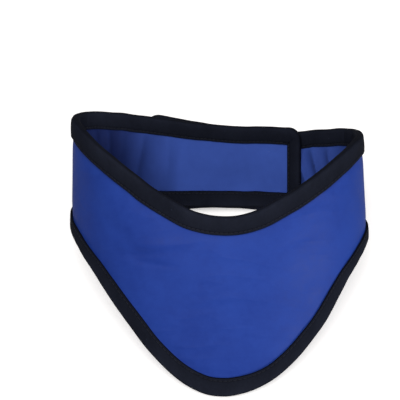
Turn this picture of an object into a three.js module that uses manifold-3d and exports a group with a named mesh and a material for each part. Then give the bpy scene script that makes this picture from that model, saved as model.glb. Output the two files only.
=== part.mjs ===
import * as THREE from 'three';
import { mergeVertices } from 'three/addons/utils/BufferGeometryUtils.js';
import Module from 'manifold-3d';

// Thyroid shield collar, closed into a loop, in millimetres, +Z up, its front towards -Y.
// It stands on the plane z = 0, on the tip of its bib and on the lower edge of its back band.

// The loop, seen from above
const LOOP_WIDTH = 189.5; // side to side, at the height of the neckline's lowest point
const FRONT_REACH = 57; // from the loop's widest line to its front
const BACK_REACH = 49.5; // and to its back
const LOOP_SQUARENESS = 2.2; // exponent of the rounded plan, where 2 is an ellipse
const LEAN_FRONT = 7.5; // degrees by which the wall spreads outward on its way down
const LEAN_LEFT = 2;
const LEAN_RIGHT = 4.5;
const LEAN_BACK = 5.5;

// The two ends, which overlap at the back
const LAP = 108; // length of the overlap
const LAP_SHIFT = 5.5; // from the back's middle to the lap's middle
const LAP_EASE = 70; // run over which each end moves to its own layer
const END_CORNER = 8; // radius of the sheet's corners

// The outline, measured from the neckline's lowest point
const BIB_DEPTH = 110; // down to the bib's tip
const NECK_RISE = 54; // up to the neckline's highest point
const HEEL_DROP = 19.5; // down to the lower edge at the middle of the back

// The layers
const COVER_WALL = 2.4; // blue cover with the shielding sheet in it
const LINING_WALL = 1;
const TAPE_WALL = 0.9; // folded binding tape
const PATCH_WALL = 0.9; // closure pads
const GAP = 0.3; // between pieces that touch
const TAPE_WIDTH = 10.5; // what shows of the tape on each face
const END_TAPE_WIDTH = 8.5; // the same on the upright ends
const FOLD_BEVEL = 0.8; // cut off the fold's corners
const FOLD_ROLL = 1.35; // the same, down the fold from the outer face
const END_PINCH = 0.6; // the end tape's thickness at its very end, as a share
const LOOP_PATCH_LENGTH = 112;
const HOOK_PATCH_LENGTH = 84;
const PATCH_MARGIN = 4; // from the tape to a pad

// Relief
const DENT_DEPTH = 1.2;
const BUCKLE_DEPTH = 3;
const BUCKLE_WIDTH = 7;

// How far the floor presses the soft lower tape flat where the collar rests
const PRESS = 0.3;

// Mesh steps
const STEP_ALONG = 8.5;
const STEP_TURN = 0.17; // radians that the loop turns between two columns
const SHEET_ROWS = 6;
const PATCH_ROWS = 2;
const PLAN_STEPS = 720;
const PLAN_RUN = 1; // the finest step along the loop
const TURN_RUN = 3; // how far to each side the plan's direction is read
const SOLVE_STEPS = 12;
const EVEN = 1e-3; // two diagonals whose lengths differ by less count as equal

// The neckline: along is a share of half the sheet's length, counted from the front's middle;
// left and right are shares of NECK_RISE on the side towards -X and on the side towards +X.
const NECKLINE = [
  { along: 0.0, left: 0.0, right: 0.0 },
  { along: 0.06, left: 0.067, right: 0.036 },
  { along: 0.12, left: 0.228, right: 0.178 },
  { along: 0.2, left: 0.494, right: 0.406 },
  { along: 0.28, left: 0.741, right: 0.635 },
  { along: 0.36, left: 0.94, right: 0.77 },
  { along: 0.47, left: 1.0, right: 0.785 },
  { along: 0.58, left: 0.935, right: 0.7 },
  { along: 0.65, left: 0.875, right: 0.65 },
  { along: 0.82, left: 0.745, right: 0.73 },
  { along: 1.0, left: 0.73, right: 0.92 },
];

// The lower edge: left and right are shares of BIB_DEPTH
const LOWER_EDGE = [
  { along: 0.0, left: 1.0, right: 1.0 },
  { along: 0.06, left: 0.951, right: 0.967 },
  { along: 0.12, left: 0.818, right: 0.875 },
  { along: 0.2, left: 0.571, right: 0.657 },
  { along: 0.28, left: 0.338, right: 0.381 },
  { along: 0.36, left: 0.2, right: 0.245 },
  { along: 0.47, left: 0.145, right: 0.235 },
  { along: 0.65, left: 0.145, right: 0.225 },
  { along: 0.82, left: 0.152, right: 0.195 },
  { along: 1.0, left: 0.152, right: 0.182 },
];

// Shallow dents and swells of the whole wall: along and wide are shares of half the sheet's
// length, down and tall shares of the wall's height, out a share of DENT_DEPTH
const DENTS = [
  { along: -0.19, down: 0.47, wide: 0.09, tall: 0.07, out: -0.7 },
  { along: -0.15, down: 0.33, wide: 0.1, tall: 0.12, out: 0.6 },
  { along: 0.12, down: 0.4, wide: 0.12, tall: 0.2, out: 0.5 },
  { along: -0.33, down: 0.55, wide: 0.05, tall: 0.3, out: -0.8 },
  { along: 0.34, down: 0.5, wide: 0.06, tall: 0.3, out: -0.6 },
];

// Upright buckles of the slack lining: along as above, out a share of BUCKLE_DEPTH
const BUCKLES = [
  { along: -0.455, out: 0.7 },
  { along: -0.51, out: 1 },
  { along: -0.55, out: 0.8 },
  { along: -0.625, out: 0.6 },
  { along: -0.68, out: 0.5 },
  { along: 0.47, out: 0.5 },
  { along: 0.528, out: 0.8 },
  { along: 0.565, out: 1 },
];

const radians = THREE.MathUtils.degToRad;
const clamp = THREE.MathUtils.clamp;
const ease = (t) => THREE.MathUtils.smoothstep(t, 0, 1);

// The plan as a table of points at equal steps of angle, with the length along it
function makePlan() {
  const root = (v) => Math.sign(v) * Math.abs(v) ** (2 / LOOP_SQUARENESS);
  const at = [];
  let along = 0;
  for (let i = 0; i <= PLAN_STEPS; i++) {
    const angle = Math.PI * ((2 * i) / PLAN_STEPS - 1);
    const reach = Math.cos(angle) > 0 ? FRONT_REACH : BACK_REACH;
    const x = (LOOP_WIDTH / 2) * root(Math.sin(angle));
    const y = -reach * root(Math.cos(angle));
    if (i > 0) along += Math.hypot(x - at[i - 1].x, y - at[i - 1].y);
    at.push({ x, y, along });
  }
  return at;
}

const plan = makePlan();
const LOOP_LENGTH = plan[PLAN_STEPS].along;
const HALF_SHEET = (LOOP_LENGTH + LAP) / 2;
const INNER_END = -HALF_SHEET - LAP_SHIFT; // the end that lies against the neck
const OUTER_END = HALF_SHEET - LAP_SHIFT; // the end that lies over it

// A point of the plan, p millimetres along from the front's middle, round the loop as often as needed
function planPoint(p) {
  const along = THREE.MathUtils.euclideanModulo(p + LOOP_LENGTH / 2, LOOP_LENGTH);
  let low = 0;
  let high = PLAN_STEPS;
  while (high - low > 1) {
    const middle = (low + high) >> 1;
    if (plan[middle].along > along) high = middle;
    else low = middle;
  }
  const a = plan[low];
  const b = plan[high];
  const t = (along - a.along) / (b.along - a.along);
  return new THREE.Vector2(THREE.MathUtils.lerp(a.x, b.x, t), THREE.MathUtils.lerp(a.y, b.y, t));
}

// The plan's outward direction
function planOutward(p) {
  const run = planPoint(p + TURN_RUN).sub(planPoint(p - TURN_RUN)).normalize();
  return new THREE.Vector2(run.y, -run.x);
}

// A smooth curve through a table's rows, read as a share of half the sheet's length
function readTable(rows, share) {
  const side = share < 0 ? 'left' : 'right';
  const other = share < 0 ? 'right' : 'left';
  const points = [{ at: -rows[1].along, value: rows[1][other] }];
  for (const row of rows) points.push({ at: row.along, value: row[side] });
  const at = clamp(Math.abs(share), 0, rows.at(-1).along);
  let i = 1;
  while (i < points.length - 2 && at > points[i + 1].at) i++;
  const slope = (k) => {
    const before = points[Math.max(k - 1, 0)];
    const after = points[Math.min(k + 1, points.length - 1)];
    return (after.value - before.value) / (after.at - before.at);
  };
  const span = points[i + 1].at - points[i].at;
  const t = (at - points[i].at) / span;
  const fall = ease(t);
  const line = points[i].value * (1 - fall) + points[i + 1].value * fall;
  return line + span * t * (1 - t) * ((1 - t) * slope(i) - t * slope(i + 1));
}

// Tangent of the wall's lean at a place in the loop
function leanAt(p) {
  const out = planOutward(p);
  const forward = Math.max(-out.y, 0) ** 2;
  const backward = Math.max(out.y, 0) ** 2;
  const side = out.x < 0 ? LEAN_LEFT : LEAN_RIGHT;
  const rest = 1 - forward - backward;
  return Math.tan(radians(LEAN_FRONT * forward + LEAN_BACK * backward + side * rest));
}

// Each end moves half the layers' pitch inward or outward before it reaches the lap
const STACK = COVER_WALL + GAP + LINING_WALL;
const BETWEEN = Math.max(2 * TAPE_WALL, 2 * PATCH_WALL) + 3 * GAP;
const LAYER_PITCH = STACK + BETWEEN;

function layerShift(p) {
  const start = HALF_SHEET - LAP - LAP_EASE;
  return Math.sign(p) * (LAYER_PITCH / 2) * ease(clamp((Math.abs(p) - start) / LAP_EASE, 0, 1));
}

// The middle of the wall without its relief: p along the loop, q upward
function barePoint(p, q) {
  const at = planPoint(p);
  const out = planOutward(p).multiplyScalar(layerShift(p) - q * leanAt(p));
  return new THREE.Vector3(at.x + out.x, at.y + out.y, q);
}

// Faces of the layers, outward from the face between the cover and the lining
const COVER_OUTSIDE = GAP / 2 + COVER_WALL;
const LINING_INSIDE = -GAP / 2 - LINING_WALL;
const TAPE_OUTSIDE = COVER_OUTSIDE + GAP + TAPE_WALL;
const TAPE_INSIDE = LINING_INSIDE - GAP - TAPE_WALL;
const TAPE_MIDDLE = (TAPE_OUTSIDE + TAPE_INSIDE) / 2;

// The section of a tape folded over an edge: depth into the sheet from its edge, and layer
const FOLD = -GAP - TAPE_WALL;
const TAPE_SECTION = [
  { depth: TAPE_WIDTH, layer: TAPE_OUTSIDE },
  { depth: FOLD + FOLD_BEVEL, layer: TAPE_OUTSIDE },
  { depth: FOLD, layer: TAPE_OUTSIDE - FOLD_ROLL },
  { depth: FOLD, layer: TAPE_INSIDE + FOLD_BEVEL },
  { depth: FOLD + FOLD_BEVEL, layer: TAPE_INSIDE },
  { depth: TAPE_WIDTH, layer: TAPE_INSIDE },
  { depth: TAPE_WIDTH, layer: TAPE_INSIDE + TAPE_WALL },
  { depth: -GAP, layer: TAPE_INSIDE + TAPE_WALL },
  { depth: -GAP, layer: TAPE_OUTSIDE - TAPE_WALL },
  { depth: TAPE_WIDTH, layer: TAPE_OUTSIDE - TAPE_WALL },
];

// The wall's own directions at a place: up along it, and out of it
function wallDirections(p, q) {
  const nudge = 0.5;
  const along = barePoint(p + nudge, q).sub(barePoint(p - nudge, q));
  const up = barePoint(p, q + nudge).sub(barePoint(p, q - nudge)).normalize();
  return { up, out: along.cross(up).normalize() };
}

// How far the lower tape hangs below the wall's edge, seen along the floor's upright
function tapeHang(p, q, floorUp) {
  const { up, out } = wallDirections(p, q);
  const heights = TAPE_SECTION.map(({ depth, layer }) =>
    depth * up.dot(floorUp) + layer * out.dot(floorUp));
  return -Math.min(...heights);
}

// The floor in the collar's own upright frame: a plane that touches the tape at tip and heel
const tip = barePoint(0, -BIB_DEPTH);
const heel = barePoint(LOOP_LENGTH / 2, -HEEL_DROP);
const span = heel.clone().sub(tip);
const upright = (tilt) => new THREE.Vector3(0, -Math.sin(tilt), Math.cos(tilt));
let restTilt = Math.atan2(span.z, span.y);
for (let i = 0; i < SOLVE_STEPS; i++) {
  const tipHang = tapeHang(0, -BIB_DEPTH, upright(restTilt));
  const heelHang = tapeHang(LOOP_LENGTH / 2, -HEEL_DROP, upright(restTilt));
  restTilt = Math.atan2(span.z, span.y) - Math.asin((heelHang - tipHang) / span.length());
}
const floorUp = upright(restTilt);
const floorLevel = tip.dot(floorUp) - tapeHang(0, -BIB_DEPTH, floorUp) + PRESS;
const heightOverFloor = (point) => point.dot(floorUp) - floorLevel;

// The lower edge keeps to its table, except where its tape would be pressed too far into the floor
function lowerEdge(p) {
  const free = -BIB_DEPTH * readTable(LOWER_EDGE, p / HALF_SHEET);
  const hang = tapeHang(p, free, floorUp);
  const lift = hang - PRESS - heightOverFloor(barePoint(p, free));
  return free + Math.max(lift, 0) / wallDirections(p, free).up.dot(floorUp);
}

const neckline = (p) => NECK_RISE * readTable(NECKLINE, p / HALF_SHEET);

function relief(p, q) {
  const share = p / HALF_SHEET;
  const top = neckline(p);
  const down = (top - q) / (top - lowerEdge(p));
  let out = 0;
  for (const dent of DENTS) {
    const far = ((share - dent.along) / dent.wide) ** 2 + ((down - dent.down) / dent.tall) ** 2;
    out += dent.out * DENT_DEPTH * Math.exp(-far);
  }
  return out;
}

// A point of the collar: k millimetres outward from the face between the cover and the lining
function wallPoint(p, q, k) {
  return barePoint(p, q).addScaledVector(wallDirections(p, q).out, k + relief(p, q));
}

// The sheet's outline, grown by a margin, with rounded corners at its ends
function outline(p, grow) {
  const radius = END_CORNER + grow;
  const inset = Math.max(radius - Math.min(p - INNER_END + grow, OUTER_END + grow - p), 0);
  const drop = radius - Math.sqrt(Math.max(radius ** 2 - inset ** 2, 0));
  const at = clamp(p, INNER_END, OUTER_END);
  return { low: lowerEdge(at) - grow + drop, top: neckline(at) + grow - drop };
}

// Places for the columns of a mesh, closer together where the loop turns sharply
function columns(from, to) {
  const fine = Math.ceil((to - from) / PLAN_RUN);
  const at = (i) => from + ((to - from) * i) / fine;
  const passed = [0];
  for (let i = 1; i <= fine; i++) {
    const turn = planOutward(at(i)).angleTo(planOutward(at(i - 1)));
    passed.push(passed[i - 1] + (at(i) - at(i - 1)) / STEP_ALONG + turn / STEP_TURN);
  }
  const count = Math.max(Math.round(passed[fine]), 1);
  const places = [from];
  for (let i = 1; i <= fine && places.length < count; i++) {
    if (passed[i] >= (passed[fine] * places.length) / count) places.push(at(i));
  }
  return [...places, to];
}

// Distances from an end, close together round the corner of an outline grown by a margin
const CORNER_SHARES = [0, 0.13, 0.5, 1];
const cornerSteps = (grow) => CORNER_SHARES.map((share) => share * (END_CORNER + grow) - grow);

// The sheet's columns: even between the end tapes, and close together round its corners
const tapeColumns = columns(INNER_END + END_TAPE_WIDTH + GAP, OUTER_END - END_TAPE_WIDTH - GAP);
const sheetColumns = [
  ...cornerSteps(0).map((step) => INNER_END + step),
  ...tapeColumns,
  ...cornerSteps(0).map((step) => OUTER_END - step).reverse(),
];

// A closed solid from a ring of points at each of its columns, all rings turning the same way;
// caps are the triangles, as places in a ring, that close both ends
function closedSolid(rings, caps) {
  const count = rings[0].length;
  const vertices = rings.flat().flatMap((point) => point.toArray());
  const faces = [];
  for (let i = 0; i + 1 < rings.length; i++) {
    for (let j = 0; j < count; j++) {
      const next = (j + 1) % count;
      const a = i * count + j;
      const b = i * count + next;
      const falls = rings[i][j].distanceTo(rings[i + 1][next]);
      const rises = rings[i][next].distanceTo(rings[i + 1][j]);
      if (rises < falls + EVEN) faces.push(a, a + count, b, b, a + count, b + count);
      else faces.push(a, a + count, b + count, a, b + count, b);
    }
  }
  const last = (rings.length - 1) * count;
  for (const triangle of caps) {
    const [a, b, c] = triangle.toSorted((one, other) => one - other);
    faces.push(a, b, c, last + a, last + c, last + b);
  }
  const geometry = new THREE.BufferGeometry();
  geometry.setAttribute('position', new THREE.Float32BufferAttribute(vertices, 3));
  geometry.setIndex(faces);
  return geometry;
}

// A slab of the wall: rows from low to top on its outer face, and back down its inner face
function slab(places, rows, limits, inner, outer) {
  const rings = places.map((p, i) => {
    const { low, top } = limits(p);
    const ring = [];
    for (let j = 0; j <= rows; j++) {
      const q = THREE.MathUtils.lerp(low, top, j / rows);
      ring.push(wallPoint(p, q, outer(p, q, i)));
    }
    for (let j = rows; j >= 0; j--) {
      const q = THREE.MathUtils.lerp(low, top, j / rows);
      ring.push(wallPoint(p, q, inner(p, q, i)));
    }
    return ring;
  });
  const caps = [];
  for (let j = 0; j < rows; j++) {
    const k = 2 * rows + 1 - j;
    caps.push([j, j + 1, k], [j + 1, k - 1, k]);
  }
  return closedSolid(rings, caps);
}

// The height, at p, of a line that runs a given depth inside an edge of the sheet
function insetHeight(edge, into, p, depth) {
  let at = p;
  let inward = new THREE.Vector2(0, into);
  for (let i = 0; i < SOLVE_STEPS; i++) {
    const slope = (edge(at + 1) - edge(at - 1)) / 2;
    inward = new THREE.Vector2(-into * slope, into).normalize();
    at = p - inward.x * depth;
  }
  return edge(at) + inward.y * depth;
}

// A tape folded over an edge of the sheet, where into is 1 if the sheet is above the edge
function foldedTape(edge, into, settle) {
  const section = into > 0 ? TAPE_SECTION.toReversed() : TAPE_SECTION;
  const rings = tapeColumns.map((p) => section.map(({ depth, layer }) =>
    settle(wallPoint(p, insetHeight(edge, into, p, depth), layer))));
  const contour = section.map(({ depth, layer }) => new THREE.Vector2(depth, layer));
  return closedSolid(rings, THREE.ShapeUtils.triangulateShape(contour, []));
}

const wasm = await Module();
wasm.setup();

function toSolid(geometry) {
  const merged = mergeVertices(geometry);
  return new wasm.Manifold(new wasm.Mesh({
    numProp: 3,
    vertProperties: merged.attributes.position.array,
    triVerts: Uint32Array.from(merged.index.array),
  }));
}

function fromSolid(solid) {
  const mesh = solid.getMesh();
  const geometry = new THREE.BufferGeometry();
  geometry.setAttribute('position', new THREE.BufferAttribute(mesh.vertProperties, 3));
  geometry.setIndex(Array.from(mesh.triVerts));
  return geometry;
}

// A tape folded over an upright end and closed over both corners: a block less the sheet's pocket
function endTape(end, inward) {
  const outerGrow = GAP + TAPE_WALL;
  const block = [...cornerSteps(outerGrow), END_TAPE_WIDTH];
  const pocket = [...cornerSteps(GAP), END_TAPE_WIDTH + TAPE_WALL];
  const place = (distances) => distances.map((d) => end + inward * d).sort((a, b) => a - b);
  const pinch = (p) => ((end - p) * inward > GAP ? END_PINCH : 1);
  const half = (TAPE_OUTSIDE - TAPE_INSIDE) / 2;
  const whole = slab(place(block), SHEET_ROWS, (p) => outline(p, outerGrow),
    (p) => TAPE_MIDDLE - half * pinch(p), (p) => TAPE_MIDDLE + half * pinch(p));
  const hollow = slab(place(pocket), SHEET_ROWS, (p) => outline(p, GAP),
    () => TAPE_INSIDE + TAPE_WALL, () => TAPE_OUTSIDE - TAPE_WALL);
  return fromSolid(toSolid(whole).subtract(toSolid(hollow)));
}

// A closure pad on one face of the wall, clear of the tapes
function closurePad(from, to, face, out) {
  const limits = (p) => ({
    low: insetHeight(lowerEdge, 1, p, TAPE_WIDTH + PATCH_MARGIN),
    top: insetHeight(neckline, -1, p, TAPE_WIDTH + PATCH_MARGIN),
  });
  const near = face + out * GAP;
  const far = near + out * PATCH_WALL;
  return slab(columns(from, to), PATCH_ROWS, limits,
    () => Math.min(near, far), () => Math.max(near, far));
}

const blueCover = new THREE.MeshStandardMaterial({ color: 0x28419a, roughness: 0.55, metalness: 0 });
const blueLining = new THREE.MeshStandardMaterial({ color: 0x2a4190, roughness: 0.7, metalness: 0 });
const blackTape = new THREE.MeshStandardMaterial({ color: 0x181b24, roughness: 0.8, metalness: 0 });
const blackPad = new THREE.MeshStandardMaterial({ color: 0x101114, roughness: 0.95, metalness: 0 });

const collar = new THREE.Group();

function addPiece(name, geometry, material) {
  const mesh = new THREE.Mesh(geometry, material.clone());
  mesh.name = name;
  collar.add(mesh);
}

const sheetLimits = (p) => outline(p, 0);

addPiece('shield_cover',
  slab(sheetColumns, SHEET_ROWS, sheetLimits, () => GAP / 2, () => COVER_OUTSIDE), blueCover);

// How far the lining stands off the cover: nothing under the tapes, most at half height
function buckle(p, q) {
  const low = insetHeight(lowerEdge, 1, p, TAPE_WIDTH);
  const top = insetHeight(neckline, -1, p, TAPE_WIDTH);
  const up = clamp((q - low) / (top - low), 0, 1);
  let out = 0;
  for (const row of BUCKLES) {
    out += row.out * Math.exp(-(((p - row.along * HALF_SHEET) / BUCKLE_WIDTH) ** 2));
  }
  return BUCKLE_DEPTH * out * Math.sin(Math.PI * up) ** 2;
}

addPiece('inner_lining',
  slab(sheetColumns, SHEET_ROWS, sheetLimits,
    (p, q) => LINING_INSIDE - buckle(p, q), (p, q) => -GAP / 2 - buckle(p, q)), blueLining);

// Where it rests, the soft tape is pressed flat on the floor
function settle(point) {
  return point.addScaledVector(floorUp, Math.max(-heightOverFloor(point), 0));
}

addPiece('binding_neckline', foldedTape(neckline, -1, (point) => point), blackTape);
addPiece('binding_bib', foldedTape(lowerEdge, 1, settle), blackTape);
addPiece('binding_end_inner', endTape(INNER_END, 1), blackTape);
addPiece('binding_end_outer', endTape(OUTER_END, -1), blackTape);

const innerPadStart = INNER_END + END_TAPE_WIDTH + PATCH_MARGIN;
const outerPadEnd = OUTER_END - END_TAPE_WIDTH - PATCH_MARGIN;
addPiece('loop_patch',
  closurePad(innerPadStart, innerPadStart + LOOP_PATCH_LENGTH, COVER_OUTSIDE, 1), blackPad);
addPiece('hook_patch',
  closurePad(outerPadEnd - HOOK_PATCH_LENGTH, outerPadEnd, LINING_INSIDE, -1), blackPad);

// The upright collar leans back until its tip and its heel both touch the floor
const lean = new THREE.Group();
lean.rotation.x = -restTilt;
lean.add(collar);
const group = new THREE.Group();
group.add(lean);
group.updateMatrixWorld(true);
const reach = new THREE.Box3().setFromObject(group, true);
const middle = reach.getCenter(new THREE.Vector3());
lean.position.set(-middle.x, -middle.y, -reach.min.z);

export default group;
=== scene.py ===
import math

import bpy
import numpy as np
from bpy.props import FloatProperty, FloatVectorProperty, IntProperty, PointerProperty
from mathutils import Matrix, Vector


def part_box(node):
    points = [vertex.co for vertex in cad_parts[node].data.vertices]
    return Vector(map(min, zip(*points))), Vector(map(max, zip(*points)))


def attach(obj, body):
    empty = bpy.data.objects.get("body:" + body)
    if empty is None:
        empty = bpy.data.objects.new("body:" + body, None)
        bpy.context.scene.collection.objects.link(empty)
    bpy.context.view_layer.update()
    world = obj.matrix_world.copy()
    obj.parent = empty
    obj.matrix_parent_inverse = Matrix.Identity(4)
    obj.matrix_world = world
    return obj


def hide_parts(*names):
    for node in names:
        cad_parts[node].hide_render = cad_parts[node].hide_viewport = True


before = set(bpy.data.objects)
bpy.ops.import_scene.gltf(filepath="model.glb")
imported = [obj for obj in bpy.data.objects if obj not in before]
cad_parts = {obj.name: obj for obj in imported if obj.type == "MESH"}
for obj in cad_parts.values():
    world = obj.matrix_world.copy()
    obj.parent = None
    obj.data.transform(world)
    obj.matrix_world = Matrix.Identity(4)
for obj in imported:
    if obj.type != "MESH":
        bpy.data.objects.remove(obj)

bl_info = {
    "name": "Shielding collar",
    "version": (1, 0, 0),
    "blender": (4, 5, 0),
    "location": "3D View > Sidebar > Collar",
    "description": "Dresses a shielding collar's solids in sewn cloth, tape and thread",
    "category": "Add Mesh",
}

# The wall is laid out in flat coordinates, in metres: p runs along the loop from the front's middle
# (towards +X at the front), q runs up from the neckline's lowest point, and k runs outward from the
# face between the cover and the lining. The collar is worked out upright and then leant back.

MM = 0.001
SEED = 7
WAVE_GRID = 256  # swells after which the irregular waves repeat

PLAN_STEPS = 720  # points round the loop's plan
EDGE_STEPS = 4000  # points at which a long edge is measured
SOLVE_STEPS = 12  # rounds in which an inset line, or the collar's lean, settles
TURN_RUN = 3 * MM  # how far to each side the loop's direction is read
NUDGE = 0.5 * MM  # how far to each side the wall's directions are read

COVER_ROWS = 96  # mesh rows of the cover's face, from edge to edge
LINING_ROWS = 80  # and of the lining's
BACK_ROWS = 8  # and of their plain backs
CORNER_COLUMNS = 9  # mesh columns round a rounded corner
SHARP = math.radians(50)  # turn past which an edge of the mesh shows sharp

FADE_OUT = 12 * MM  # run over which the lining's waves fade towards an end of the sheet
LAP_FADE = 20 * MM  # and the run over which they fade towards the lap

# The folded tape. The first two are the solids' own; the others shape what is seen.
BEVEL = 0.8 * MM  # cut off the fold's corners
ROLL = 1.35 * MM  # cut off its outer corner across the wall
LIP = 0.6 * MM  # rounding at the tape's edge
PUFF = 0.18 * MM  # how far the tape swells between its fold and its edge
SHY = 0.12 * MM  # how far its faces lie inside the solid tape's
HEM = 0.2 * MM  # how far its under side stops short of its edge
FOLD_ROWS = 8  # points round each half of the fold
FOLD_POINT = 20  # the section's point, on the fold, that measures an end tape's length

JOINT_GAP = 2.2 * MM  # between an end tape's edge and the long tapes' ends
END_STEPS = (12, 14, 80)  # steps of an end tape: along an edge, round a corner, down the end
TIGHTEST_CORNER = 0.7 * MM
MITRE_STEP = 1.1 * MM  # run over which the mitre's fold rises
MITRE_FADE = 8  # steps over which it sinks again
MITRE_START = 3 * MM  # depth at which it has its full height

STITCH_SIDES, STITCH_RINGS = 6, 7
STITCH_REACH = 0.44  # half a stitch, as a share of the way between needle holes
STITCH_LIFT = 0.1 * MM  # how far its ends lie above the groove
STITCH_BOW = 0.13 * MM  # how much higher its middle lies

PAD_STEP = 2 * MM
PAD_ROWS = 24
PAD_RIM = 1.5  # rows over which a pad's rim rises

FRONT_LIGHT = {"place": (0.92, -0.78, 0.3), "size": 0.45}
TOP_LIGHT = {"place": (-0.14, -0.44, 1.03), "size": 0.9}
LIT_POINT = (0, 0, 0.03)  # what both lights face
FLOOR_REACH = 4.0
SENSOR = 36  # the camera's sensor, in its own millimetres

# The neckline: along is a share of half the sheet's length, and left and right are shares of the
# neckline's rise on the side towards -X and on the side towards +X.
NECKLINE = [
    {"along": 0.0, "left": 0.0, "right": 0.0},
    {"along": 0.06, "left": 0.067, "right": 0.036},
    {"along": 0.12, "left": 0.228, "right": 0.178},
    {"along": 0.2, "left": 0.494, "right": 0.406},
    {"along": 0.28, "left": 0.741, "right": 0.635},
    {"along": 0.36, "left": 0.94, "right": 0.77},
    {"along": 0.47, "left": 1.0, "right": 0.785},
    {"along": 0.58, "left": 0.935, "right": 0.7},
    {"along": 0.65, "left": 0.875, "right": 0.65},
    {"along": 0.82, "left": 0.745, "right": 0.73},
    {"along": 1.0, "left": 0.73, "right": 0.92},
]

# The lower edge: left and right are shares of the bib's depth, downward.
LOWER_EDGE = [
    {"along": 0.0, "left": 1.0, "right": 1.0},
    {"along": 0.06, "left": 0.951, "right": 0.967},
    {"along": 0.12, "left": 0.818, "right": 0.875},
    {"along": 0.2, "left": 0.571, "right": 0.657},
    {"along": 0.28, "left": 0.338, "right": 0.381},
    {"along": 0.36, "left": 0.2, "right": 0.245},
    {"along": 0.47, "left": 0.145, "right": 0.235},
    {"along": 0.65, "left": 0.145, "right": 0.225},
    {"along": 0.82, "left": 0.152, "right": 0.195},
    {"along": 1.0, "left": 0.152, "right": 0.182},
]

# Shallow dents and swells of the whole wall: along and wide are shares of half the sheet's length,
# down and tall shares of the wall's height, out a share of the dents' depth.
DENTS = [
    {"along": -0.19, "down": 0.47, "wide": 0.09, "tall": 0.07, "out": -0.3},
    {"along": -0.15, "down": 0.33, "wide": 0.12, "tall": 0.12, "out": 0.3},
    {"along": 0.12, "down": 0.4, "wide": 0.12, "tall": 0.2, "out": 0.5},
    {"along": -0.33, "down": 0.55, "wide": 0.05, "tall": 0.3, "out": -0.8},
    {"along": 0.34, "down": 0.5, "wide": 0.06, "tall": 0.3, "out": -0.6},
]

# Upright folds of the slack lining, in millimetres: where they lie along the loop, how far they
# stand off, half their width, and how far they lean from the lower tape to the upper.
PLEATS = [
    {"at": -146, "out": 3.2, "width": 3.2, "lean": 2},
    {"at": -157, "out": 4.2, "width": 3.6, "lean": 3},
    {"at": -168, "out": 1.8, "width": 3.8, "lean": 5},
    {"at": -182, "out": 3.4, "width": 3.9, "lean": 9},
    {"at": -204, "out": 2.4, "width": 4.4, "lean": 3},
    {"at": 155, "out": 4.4, "width": 3.0, "lean": -10},
    {"at": 166, "out": 5.0, "width": 3.2, "lean": -14},
    {"at": 178, "out": 4.0, "width": 3.0, "lean": -14},
]

# How wide the lower edge's tape shows: along as above, left and right as shares of its width.
BIB_TAPE = [
    {"along": 0.0, "left": 1.03, "right": 1.03},
    {"along": 0.04, "left": 0.97, "right": 0.96},
    {"along": 0.1, "left": 0.84, "right": 0.79},
    {"along": 0.2, "left": 0.84, "right": 0.75},
    {"along": 0.32, "left": 0.8, "right": 0.67},
    {"along": 0.42, "left": 0.88, "right": 0.8},
    {"along": 0.52, "left": 1.0, "right": 1.0},
    {"along": 1.0, "left": 1.0, "right": 1.0},
]

# Faint creases of the cover, in millimetres: both ends as flat coordinates, how far the cloth
# stands out, and half the crease's width.
CREASES = [
    {"from_p": -78, "from_q": -27, "to_p": -32, "to_q": -21, "out": -1.0, "width": 1.8},
    {"from_p": -66, "from_q": -20, "to_p": -18, "to_q": -15, "out": 0.8, "width": 2.8},
    {"from_p": -58, "from_q": -28, "to_p": -24, "to_q": -30, "out": -0.6, "width": 1.7},
    {"from_p": -22, "from_q": -52, "to_p": 22, "to_q": -47, "out": 0.25, "width": 2.6},
    {"from_p": 26, "from_q": -22, "to_p": 64, "to_q": -10, "out": -0.3, "width": 2.2},
]

# Upright creases pressed into the neckline's tape, in millimetres: where they lie along the loop,
# how deep they go and half their width.
TAPE_CREASES = [
    {"at": -137, "deep": 0.5, "width": 1.6},
    {"at": -124, "deep": 0.6, "width": 1.3},
    {"at": 133, "deep": 0.45, "width": 1.5},
    {"at": 144, "deep": 0.7, "width": 1.2},
    {"at": 172, "deep": 0.4, "width": 1.8},
]

# Shade painted into the lining at the loop's two narrow turns, where the cloth is darkened to stand in
# for the shade deep inside the loop, in millimetres along it: where the painted shade begins and is
# full, where it is still full and ends, and how strong it is.
PAINTED_TURN_SHADE = [
    {"begin": -213, "full": -166, "still": -120, "end": -90, "most": 1.0},
    {"begin": 205, "full": 160, "still": 120, "end": 90, "most": 0.42},
]

# Lines along the tape that are painted lighter as highlights, along the fold's top and near the tape's
# edge, and the line of shade painted in its seam: how far inside the tape's fold they lie and half
# their width, in millimetres, and how strong the highlight is.
CREST_HIGHLIGHT = {"at": 0.6, "half": 2.0, "most": 0.5}
LIP_HIGHLIGHT = {"at": 9.5, "half": 0.9, "most": 0.4}
SEAM_PAINTED_SHADE = {"at": 8.7, "half": 0.8}


def length(name, description, millimetres):
    """A size that a user may change, shown as a length."""
    return FloatProperty(name=name, description=description, default=millimetres * MM,
                         unit="LENGTH", precision=5)


def turn(name, description, degrees):
    """An angle that a user may change."""
    return FloatProperty(name=name, description=description, default=math.radians(degrees),
                         subtype="ANGLE", unit="ROTATION")


def share(name, description, default):
    """A plain number that a user may change."""
    return FloatProperty(name=name, description=description, default=default, precision=3)


def colour(name, description, default):
    """A colour that a user may change."""
    return FloatVectorProperty(name=name, description=description, default=(*default, 1.0),
                               size=4, subtype="COLOR", min=0, max=1)


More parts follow.
